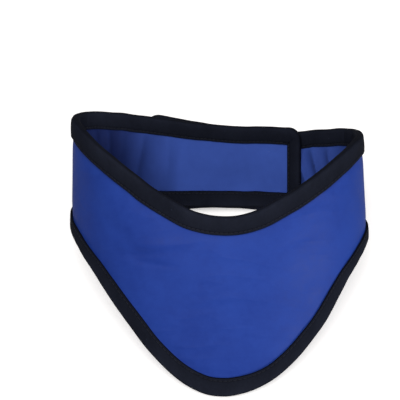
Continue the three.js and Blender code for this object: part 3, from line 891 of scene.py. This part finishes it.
def vector_calc(tree, operation, *values):
    """The result of a Vector Math node."""
    return node(tree, "ShaderNodeVectorMath", dict(enumerate(values)),
                operation=operation).outputs[0]


def noise(tree, place, scale, detail=3.0, roughness=0.55):
    """Smooth noise from 0 to 1."""
    return node(tree, "ShaderNodeTexNoise", {"Vector": place, "Scale": scale, "Detail": detail,
                                             "Roughness": roughness}).outputs["Fac"]


def spread(tree, value, low, high, to_low=0.0, to_high=1.0):
    """A value moved from one range to another, and kept in it."""
    return node(tree, "ShaderNodeMapRange", {"Value": value, "From Min": low, "From Max": high,
                                             "To Min": to_low, "To Max": to_high}).outputs[0]


def blend(tree, factor, one, other):
    """A colour between two."""
    made = node(tree, "ShaderNodeMix", data_type="RGBA")
    for socket, value in (("Factor_Float", factor), ("A_Color", one), ("B_Color", other)):
        wanted = next(s for s in made.inputs if s.identifier == socket)
        if isinstance(value, bpy.types.NodeSocket):
            tree.links.new(value, wanted)
        else:
            wanted.default_value = value
    return next(s for s in made.outputs if s.identifier == "Result_Color")


def effect(name, inputs, outputs, work):
    """A shader node group, made once: inputs are (name, kind, default), outputs (name, kind), and
    work makes its nodes and gives the sockets of its outputs by name."""
    if name in bpy.data.node_groups:
        return bpy.data.node_groups[name]
    tree = bpy.data.node_groups.new(name, "ShaderNodeTree")
    for label, kind, default in inputs:
        socket = tree.interface.new_socket(label, in_out="INPUT", socket_type=kind)
        if default is not None:
            socket.default_value = default
    for label, kind in outputs:
        tree.interface.new_socket(label, in_out="OUTPUT", socket_type=kind)
    given = tree.nodes.new("NodeGroupInput").outputs
    results = work(tree, given)
    output = tree.nodes.new("NodeGroupOutput")
    for label, socket in results.items():
        tree.links.new(socket, output.inputs[label])
    return tree


FLOAT, VECTOR = "NodeSocketFloat", "NodeSocketVector"


def weave_group():
    """Plain weave: threads that pass over and under each other, a little uneven."""

    def work(tree, given):
        turned = node(tree, "ShaderNodeVectorRotate", {"Vector": given["Flat"],
                                                       "Angle": given["Turn"]},
                      rotation_type="Z_AXIS").outputs[0]
        even = vector_calc(tree, "DIVIDE", turned, given["Pitch"])
        drift = node(tree, "ShaderNodeTexNoise", {"Vector": even, "Scale": 0.13,
                                                  "Detail": 2.0}).outputs["Color"]
        drift = vector_calc(tree, "SUBTRACT", drift, (0.5, 0.5, 0.5))
        drift = vector_calc(tree, "MULTIPLY", drift, given["Drift"])
        moved = vector_calc(tree, "ADD", even, drift)
        place = node(tree, "ShaderNodeSeparateXYZ", {0: moved}).outputs
        warp = calc(tree, "SINE", calc(tree, "MULTIPLY", place[0], 2 * math.pi))
        weft = calc(tree, "SINE", calc(tree, "MULTIPLY", place[1], 2 * math.pi))
        over = calc(tree, "MULTIPLY", warp, weft)
        height = calc(tree, "MULTIPLY_ADD", over, 0.5, 0.5)
        thread = noise(tree, even, 0.6, 1.0)
        uneven = calc(tree, "MULTIPLY", thread, 0.9)
        shade = calc(tree, "MULTIPLY_ADD", over, 0.25, uneven, clamp=True)
        return {"Height": height, "Shade": shade}

    return effect("Plain weave", [("Flat", VECTOR, None), ("Pitch", VECTOR, (0.0005,) * 3),
                                  ("Turn", FLOAT, 0.0), ("Drift", VECTOR, (0.6,) * 3)],
                  [("Height", FLOAT), ("Shade", FLOAT)], work)


def mottle_group():
    """Slow changes of tone, as dye, folds and handling leave in cloth."""

    def work(tree, given):
        broad = noise(tree, given["Place"], given["Broad"], 3.0, 0.6)
        fine = noise(tree, given["Place"], given["Fine"], 4.0, 0.65)
        tone = calc(tree, "MULTIPLY_ADD", broad, 0.65, calc(tree, "MULTIPLY", fine, 0.35))
        return {"Tone": spread(tree, tone, 0.36, 0.64), "Fine": fine}

    return effect("Mottled tone", [("Place", VECTOR, None), ("Broad", FLOAT, 18.0),
                                   ("Fine", FLOAT, 160.0)], [("Tone", FLOAT), ("Fine", FLOAT)], work)


def lint_group():
    """Sparse specks of lint."""

    def work(tree, given):
        spots = node(tree, "ShaderNodeTexVoronoi", {"Vector": given["Place"],
                                                    "Scale": given["Scale"], "Randomness": 1.0})
        size = node(tree, "ShaderNodeSeparateColor", {0: spots.outputs["Color"]}).outputs[0]
        rare = calc(tree, "GREATER_THAN", size, given["Rarity"])
        speck = spread(tree, spots.outputs["Distance"], 0.02, 0.09, 1.0, 0.0)
        return {"Mask": calc(tree, "MULTIPLY", calc(tree, "MULTIPLY", speck, rare), given["Amount"])}

    return effect("Lint", [("Place", VECTOR, None), ("Scale", FLOAT, 260.0),
                           ("Rarity", FLOAT, 0.86), ("Amount", FLOAT, 0.5)], [("Mask", FLOAT)], work)


def crease_group():
    """Soft, shallow creases: ridged noise, stretched along the cloth."""

    def work(tree, given):
        stretched = vector_calc(tree, "MULTIPLY", given["Place"], given["Stretch"])
        raw = noise(tree, stretched, 1.0, 2.0, 0.5)
        ridge = calc(tree, "ABSOLUTE", calc(tree, "SUBTRACT", raw, 0.5))
        sharp = spread(tree, ridge, 0.0, 0.12, 1.0, 0.0)
        return {"Height": calc(tree, "POWER", sharp, 1.6), "Soft": raw}

    return effect("Soft creases", [("Place", VECTOR, None), ("Stretch", VECTOR, (20.0, 40.0, 20.0))],
                  [("Height", FLOAT), ("Soft", FLOAT)], work)


def use(tree, made, **inputs):
    """A node group placed in a material, with its own values."""
    return node(tree, "ShaderNodeGroup", inputs, node_tree=made).outputs


def material(name, roughness, sheen, specular):
    """A new material with its shader and the piece's flat coordinates."""
    made = bpy.data.materials.new(name)
    made.use_nodes = True
    tree = made.node_tree
    shader = tree.nodes["Principled BSDF"]
    shader.inputs["Roughness"].default_value = roughness
    shader.inputs["Sheen Weight"].default_value = sheen
    shader.inputs["Sheen Roughness"].default_value = 0.45
    shader.inputs["Specular IOR Level"].default_value = specular
    flat = node(tree, "ShaderNodeAttribute", attribute_name="flat").outputs["Vector"]
    return made, tree, shader, flat


def bump(tree, layers):
    """Bumps one on the other: (height, strength, distance) each."""
    normal = None
    for height, strength, distance in layers:
        inputs = {"Height": height, "Strength": strength, "Distance": distance}
        if normal:
            inputs["Normal"] = normal
        normal = node(tree, "ShaderNodeBump", inputs).outputs[0]
    return normal


def finish(tree, shader, base, roughness, bumps):
    """Gives a material's shader its colour, its roughness and its relief."""
    tree.links.new(base, shader.inputs["Base Color"])
    tree.links.new(roughness, shader.inputs["Roughness"])
    tree.links.new(bump(tree, bumps), shader.inputs["Normal"])


def cover_material(looks):
    """Smooth coated cloth: a fine tight weave, soft gloss and slight rubbing."""
    made, tree, shader, flat = material("Coated cloth", 0.55, 0.0, 0.1)
    weave = use(tree, weave_group(), Flat=flat, Pitch=(looks.cover_weave,) * 3)
    tone = use(tree, mottle_group(), Place=flat, Broad=16.0, Fine=190.0)
    crease = use(tree, crease_group(), Place=flat, Stretch=(14.0, 46.0, 14.0))
    lint = use(tree, lint_group(), Place=flat, Scale=210.0, Rarity=0.93, Amount=0.25)
    base = blend(tree, tone["Tone"], looks.cover, looks.cover_worn)
    dark = blend(tree, calc(tree, "MULTIPLY", weave["Shade"], 0.22), base, looks.cover_thread)
    finish(tree, shader, blend(tree, lint["Mask"], dark, looks.dust),
           spread(tree, tone["Fine"], 0.3, 0.7, 0.44, 0.6),
           [(crease["Soft"], 0.35, 1.2 * MM), (crease["Height"], 0.35, 0.5 * MM),
            (weave["Height"], 0.25, 0.05 * MM)])
    return made


def lining_material(looks):
    """Matte woven cloth, with shade painted in the loop's narrow turns."""
    made, tree, shader, flat = material("Lining cloth", 0.72, 0.02, 0.1)
    weave = use(tree, weave_group(), Flat=flat, Pitch=(looks.lining_weave,) * 3, Drift=(0.9,) * 3)
    tone = use(tree, mottle_group(), Place=flat, Broad=22.0, Fine=150.0)
    crease = use(tree, crease_group(), Place=flat, Stretch=(60.0, 18.0, 18.0))
    lint = use(tree, lint_group(), Place=flat, Scale=230.0, Rarity=0.9, Amount=0.35)
    base = blend(tree, tone["Tone"], looks.lining_shade, looks.lining)
    dark = blend(tree, calc(tree, "MULTIPLY", weave["Shade"], 0.35), base, looks.lining_shade)
    # Painted shade: the lining is darkened in the loop's two narrow turns, to stand in for the shade
    # deep inside the loop.
    along = node(tree, "ShaderNodeSeparateXYZ", {0: flat}).outputs[0]
    one, other = (calc(tree, "MULTIPLY",
                       spread(tree, along, row["begin"] * MM, row["full"] * MM, 0.0, row["most"]),
                       spread(tree, along, row["still"] * MM, row["end"] * MM, 1.0, 0.0))
                  for row in PAINTED_TURN_SHADE)
    turned = calc(tree, "MAXIMUM", one, other)
    turned = calc(tree, "MULTIPLY", turned, calc(tree, "MULTIPLY_ADD", tone["Tone"], -0.08, 1.0))
    deep = blend(tree, turned, dark, looks.lining_painted_shade)
    finish(tree, shader, blend(tree, lint["Mask"], deep, looks.dust),
           spread(tree, tone["Fine"], 0.3, 0.7, 0.64, 0.8),
           [(crease["Soft"], 0.5, 1.0 * MM), (crease["Height"], 0.15, 0.3 * MM),
            (weave["Height"], 0.4, 0.07 * MM)])
    return made


def line_at(tree, depth, line):
    """A soft line along the tape: 1 in its middle, falling to 0 at half its width away."""
    away = calc(tree, "ABSOLUTE", calc(tree, "SUBTRACT", depth, line["at"] * MM))
    return spread(tree, away, 0.0, line["half"] * MM, 1.0, 0.0)


def tape_material(looks):
    """Woven bias tape: slanted threads, painted highlights along the fold and near its edge, painted
    shade in its seam, at its rim and over the outermost turn of the fold, and some lint.
    """
    made, tree, shader, flat = material("Bias tape", 0.82, 0.0, 0.06)
    weave = use(tree, weave_group(), Flat=flat, Pitch=(looks.tape_weave,) * 3,
                Turn=math.radians(45), Drift=(1.0,) * 3)
    tone = use(tree, mottle_group(), Place=flat, Broad=40.0, Fine=260.0)
    lint = use(tree, lint_group(), Place=flat, Scale=320.0, Rarity=0.9, Amount=0.3)
    depth = node(tree, "ShaderNodeSeparateXYZ", {0: flat}).outputs[1]
    # Painted highlight: the tape is made paler along the fold's top, broadly towards the fold and near
    # its edge, varied by the mottled tone.
    crest_highlight, lip_highlight = (calc(tree, "MULTIPLY", line_at(tree, depth, line), line["most"])
                  for line in (CREST_HIGHLIGHT, LIP_HIGHLIGHT))
    broad = calc(tree, "MULTIPLY", spread(tree, depth, 1.0 * MM, 8.0 * MM, 1.0, 0.4), 0.4)
    painted_highlight = calc(tree, "MAXIMUM", calc(tree, "MAXIMUM", crest_highlight, broad), lip_highlight)
    rubbed = calc(tree, "MULTIPLY", painted_highlight, calc(tree, "MULTIPLY_ADD", tone["Tone"], 1.0, 0.2))
    base = blend(tree, rubbed, looks.tape, looks.tape_pale_and_highlight)
    light = blend(tree, calc(tree, "MULTIPLY", weave["Shade"], 0.3), base, looks.tape_pale_and_highlight)
    # Painted shade: the tape is darkened in its seam's groove, at its rim beside the cloth and over the
    # outermost turn of its fold.
    edge = spread(tree, depth, 9.9 * MM, 10.3 * MM)
    fold = spread(tree, depth, -0.5 * MM, -1.1 * MM, 0.0, 0.6)
    painted_shade_lines = calc(tree, "MAXIMUM", line_at(tree, depth, SEAM_PAINTED_SHADE), edge)
    painted_shade_lines = calc(tree, "MAXIMUM", painted_shade_lines, fold)
    light = blend(tree, calc(tree, "MULTIPLY", painted_shade_lines, 0.8), light, looks.tape_painted_shade)
    finish(tree, shader, blend(tree, lint["Mask"], light, looks.dust),
           spread(tree, tone["Fine"], 0.3, 0.7, 0.74, 0.9),
           [(tone["Fine"], 0.25, 0.2 * MM), (weave["Height"], 0.6, 0.1 * MM)])
    return made


def thread_material(looks):
    """Twisted sewing thread."""
    made, tree, shader, flat = material("Sewing thread", 0.6, 0.03, 0.15)
    twist = node(tree, "ShaderNodeTexWave", {"Vector": flat, "Scale": 900.0, "Distortion": 1.0},
                 wave_type="BANDS", bands_direction="DIAGONAL").outputs["Fac"]
    base = blend(tree, calc(tree, "MULTIPLY", twist, 0.5), looks.thread, looks.tape_pale_and_highlight)
    finish(tree, shader, base, spread(tree, twist, 0.0, 1.0, 0.52, 0.7), [(twist, 0.6, 0.08 * MM)])
    return made


def pad_material(looks):
    """Pile of tiny loops and hooks."""
    made, tree, shader, flat = material("Closure pile", 0.92, 0.1, 0.1)
    loops = node(tree, "ShaderNodeTexVoronoi", {"Vector": flat,
                                                "Scale": 1400.0}).outputs["Distance"]
    tone = use(tree, mottle_group(), Place=flat, Broad=50.0, Fine=500.0)
    base = blend(tree, calc(tree, "MULTIPLY", tone["Tone"], 0.5), looks.pad, looks.tape_pale_and_highlight)
    finish(tree, shader, base, spread(tree, tone["Fine"], 0.3, 0.7, 0.85, 0.98),
           [(loops, 0.8, 0.4 * MM)])
    return made


def shared_material(name, make, context):
    """A material that several pieces share, made once."""
    return bpy.data.materials.get(name) or make(context.scene.collar_looks)


def shape_of(context):
    """The collar's shape, from the scene's own settings."""
    return CollarShape(context.scene.collar_sizes, context.scene.collar_sewing)


class COLLAR_OT_cover(bpy.types.Operator):
    """Make the blue cover with the shielding sheet in it"""

    bl_idname = "collar.cover"
    bl_label = "Cover"

    def execute(self, context):
        shape = shape_of(context)
        piece = cloth(shape, "collar_cover",
                      lambda p, q: shape.cover_outside + shape.cover_relief(p, q),
                      lambda p, q: shape.sizes.gap / 2 + 0 * q, COVER_ROWS,
                      shared_material("Coated cloth", cover_material, context),
                      ["shield_cover"])
        declare_sheet(shape)
        return {"FINISHED"}


class COLLAR_OT_lining(bpy.types.Operator):
    """Make the slack lining with its upright folds"""

    bl_idname = "collar.lining"
    bl_label = "Lining"

    def execute(self, context):
        shape = shape_of(context)
        gap = shape.sizes.gap
        piece = cloth(shape, "collar_lining",
                      lambda p, q: shape.lining_inside - shape.lining_slack(p, q),
                      lambda p, q: -gap / 2 - shape.lining_slack(p, q), LINING_ROWS,
                      shared_material("Lining cloth", lining_material, context),
                      ["inner_lining"])
        declare_sheet(shape)
        return {"FINISHED"}


class COLLAR_OT_edge_tapes(bpy.types.Operator):
    """Fold the tapes over the neckline and the lower edge"""

    bl_idname = "collar.edge_tapes"
    bl_label = "Edge tapes"

    def execute(self, context):
        shape = shape_of(context)
        woven = shared_material("Bias tape", tape_material, context)
        edge_tape(shape, "neckline_tape", shape.neckline, -1, TAPE_CREASES, SEED + 3, woven,
                  "binding_neckline")
        edge_tape(shape, "bib_tape", shape.lower_edge, 1, [], SEED + 5, woven, "binding_bib")
        return {"FINISHED"}


class COLLAR_OT_end_tapes(bpy.types.Operator):
    """Fold the tapes over the two upright ends"""

    bl_idname = "collar.end_tapes"
    bl_label = "End tapes"

    def execute(self, context):
        shape = shape_of(context)
        woven = shared_material("Bias tape", tape_material, context)
        end_tape(shape, "inner_end_tape", shape.inner_end, 1, SEED + 7, woven, "binding_end_inner")
        end_tape(shape, "outer_end_tape", shape.outer_end, -1, SEED + 9, woven, "binding_end_outer")
        return {"FINISHED"}


class COLLAR_OT_stitching(bpy.types.Operator):
    """Sew the tapes on with a row of stitches on each face"""

    bl_idname = "collar.stitching"
    bl_label = "Stitching"

    def execute(self, context):
        shape = shape_of(context)
        sizes, sewing = shape.sizes, shape.sewing
        depth = sizes.tape_width - sewing.seam_inset
        thread = shared_material("Sewing thread", thread_material, context)
        faces = [(shape.tape_outside - sewing.seam_sink, 1),
                 (shape.tape_inside + sewing.seam_sink, -1)]
        for name, edge, into in (("neckline_stitches", shape.neckline, -1),
                                 ("bib_stitches", shape.lower_edge, 1)):
            p, along = edge_columns(shape, edge)
            q = shape.inset(edge, into, p, shape.tape_depth(into, p, depth + 0 * p))
            stitch_rows(shape, [(p, q, k + 0 * p, out, along) for k, out in faces], name, thread)
        for name, end, inward in (("inner_end_stitches", shape.inner_end, 1),
                                  ("outer_end_stitches", shape.outer_end, -1)):
            p, q = end_path(shape, end, inward, depth)
            along = np.concatenate([[0], np.cumsum(np.hypot(np.diff(p), np.diff(q)))])
            stitch_rows(shape, [(p, q, k + 0 * p, out, along) for k, out in faces], name, thread)
        return {"FINISHED"}


class COLLAR_OT_closure_pads(bpy.types.Operator):
    """Lay the closure's two pads between the lapped ends"""

    bl_idname = "collar.closure_pads"
    bl_label = "Closure pads"

    def execute(self, context):
        shape = shape_of(context)
        sizes = shape.sizes
        pile = shared_material("Closure pile", pad_material, context)
        start = shape.inner_end + sizes.end_tape_width + sizes.pad_margin
        stop = shape.outer_end - sizes.end_tape_width - sizes.pad_margin
        pad(shape, "loop_pad", start, start + sizes.loop_pad, shape.cover_outside, 1, pile,
            "loop_patch")
        pad(shape, "hook_pad", stop - sizes.hook_pad, stop, shape.lining_inside, -1, pile,
            "hook_patch")
        return {"FINISHED"}


def aimed(location, target):
    """A placement whose -Z looks at the target."""
    direction = Vector(target) - Vector(location)
    return Matrix.Translation(location) @ direction.to_track_quat("-Z", "Y").to_matrix().to_4x4()


def add_light(name, lamp_at, power):
    """A large soft light that faces the collar."""
    light = bpy.data.lights.new(name, "AREA")
    light.shape = "DISK"
    light.size = lamp_at["size"]
    light.energy = power
    lamp = bpy.data.objects.new(name, light)
    lamp.matrix_world = aimed(lamp_at["place"], LIT_POINT)
    bpy.context.scene.collection.objects.link(lamp)


class COLLAR_OT_stage(bpy.types.Operator):
    """Set the pale floor, the soft light and the camera"""

    bl_idname = "collar.stage"
    bl_label = "Stage"

    def execute(self, context):
        studio = context.scene.collar_studio
        shape = shape_of(context)
        self.add_floor(studio)
        self.add_lights(context, studio)
        self.add_camera(context, studio, shape)
        return {"FINISHED"}

    def add_floor(self, studio):
        """A plain floor that shows paler to the camera than it lights the collar."""
        paper, tree, shader, _ = material("Studio paper", 0.9, 0.0, 0.1)
        shader.inputs["Base Color"].default_value = studio.floor
        shader.inputs["Emission Color"].default_value = studio.floor
        shader.inputs["Emission Strength"].default_value = studio.glow
        giving = node(tree, "ShaderNodeBsdfDiffuse", {"Color": studio.floor_bounce})
        seen = node(tree, "ShaderNodeLightPath").outputs["Is Camera Ray"]
        both = node(tree, "ShaderNodeMixShader", {0: seen, 1: giving.outputs[0],
                                                  2: shader.outputs[0]})
        tree.links.new(both.outputs[0], tree.nodes["Material Output"].inputs["Surface"])
        mesh = bpy.data.meshes.new("floor")
        far = FLOOR_REACH
        mesh.from_pydata([(-far, -far, 0), (far, -far, 0), (far, far, 0), (-far, far, 0)], [],
                         [(0, 1, 2, 3)])
        mesh.materials.append(paper)
        floor = bpy.data.objects.new("floor", mesh)
        bpy.context.scene.collection.objects.link(floor)

    def add_lights(self, context, studio):
        """Even light from all round, and two soft lights; the background shows as pale as the floor."""
        world = bpy.data.worlds.new("Even light")
        world.use_nodes = True
        tree = world.node_tree
        tree.nodes["Background"].inputs["Color"].default_value = (1, 1, 1, 1)
        tree.nodes["Background"].inputs["Strength"].default_value = studio.sky
        wall = node(tree, "ShaderNodeBackground", {"Color": studio.floor, "Strength": 1.0})
        seen = node(tree, "ShaderNodeLightPath").outputs["Is Camera Ray"]
        both = node(tree, "ShaderNodeMixShader", {0: seen, 1: tree.nodes["Background"].outputs[0],
                                                  2: wall.outputs[0]})
        tree.links.new(both.outputs[0], tree.nodes["World Output"].inputs["Surface"])
        context.scene.world = world
        context.scene.view_settings.view_transform = "Standard"
        add_light("front light", FRONT_LIGHT, studio.key)
        add_light("top light", TOP_LIGHT, studio.top)

    def add_camera(self, context, studio, shape):
        """The camera, placed in the upright collar and leant back with it."""
        rise, swing = studio.rise, studio.swing
        back = np.array([math.sin(swing) * math.cos(rise), -math.cos(swing) * math.cos(rise),
                         math.sin(rise)])
        right = unit(np.cross([0, 0, 1], back))
        up = np.cross(back, right)
        aim = shape.bare(np.float64(0), np.float64(-studio.aim_drop))
        middle = studio.picture / 2
        spot = (aim - right * (studio.aim_x - middle) * studio.pixel
                - up * (middle - studio.aim_y) * studio.pixel + back * studio.distance)
        axes = [shape.to_row(way, press=False) - shape.shift for way in (right, up, back)]
        camera = bpy.data.cameras.new("camera")
        camera.sensor_width = SENSOR
        camera.lens = studio.distance / studio.pixel / studio.picture * camera.sensor_width
        camera.clip_start = 0.01
        view = bpy.data.objects.new("camera", camera)
        placement = Matrix([[*column] for column in np.stack(axes, 1)]).to_4x4()
        placement.translation = Vector(shape.to_row(spot, press=False))
        view.matrix_world = placement
        context.scene.collection.objects.link(view)
        context.scene.camera = view


OPERATORS = [COLLAR_OT_stage, COLLAR_OT_cover, COLLAR_OT_lining, COLLAR_OT_edge_tapes,
             COLLAR_OT_end_tapes, COLLAR_OT_stitching, COLLAR_OT_closure_pads]


class COLLAR_PT_build(bpy.types.Panel):
    """The collar's pieces, one button each"""

    bl_idname = "COLLAR_PT_build"
    bl_label = "Shielding collar"
    bl_space_type = "VIEW_3D"
    bl_region_type = "UI"
    bl_category = "Collar"

    def draw(self, context):
        for operator in OPERATORS:
            self.layout.operator(operator.bl_idname)
        for settings in SETTINGS:
            box = self.layout.box()
            box.label(text=settings.__doc__)
            values = getattr(context.scene, SETTINGS[settings])
            for name in settings.__annotations__:
                box.prop(values, name)


SETTINGS = {CollarSizes: "collar_sizes", CollarSewing: "collar_sewing",
            CollarLooks: "collar_looks", CollarStudio: "collar_studio"}


def register():
    for settings, name in SETTINGS.items():
        bpy.utils.register_class(settings)
        setattr(bpy.types.Scene, name, PointerProperty(type=settings))
    for operator in OPERATORS:
        bpy.utils.register_class(operator)
    bpy.utils.register_class(COLLAR_PT_build)


def unregister():
    bpy.utils.unregister_class(COLLAR_PT_build)
    for operator in reversed(OPERATORS):
        bpy.utils.unregister_class(operator)
    for settings, name in SETTINGS.items():
        delattr(bpy.types.Scene, name)
        bpy.utils.unregister_class(settings)


def main():
    """Makes the stage and all the pieces."""
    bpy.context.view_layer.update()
    register()
    bpy.ops.collar.stage()
    bpy.ops.collar.cover()
    bpy.ops.collar.lining()
    bpy.ops.collar.edge_tapes()
    bpy.ops.collar.end_tapes()
    bpy.ops.collar.stitching()
    bpy.ops.collar.closure_pads()


if __name__ == "__main__":
    main()
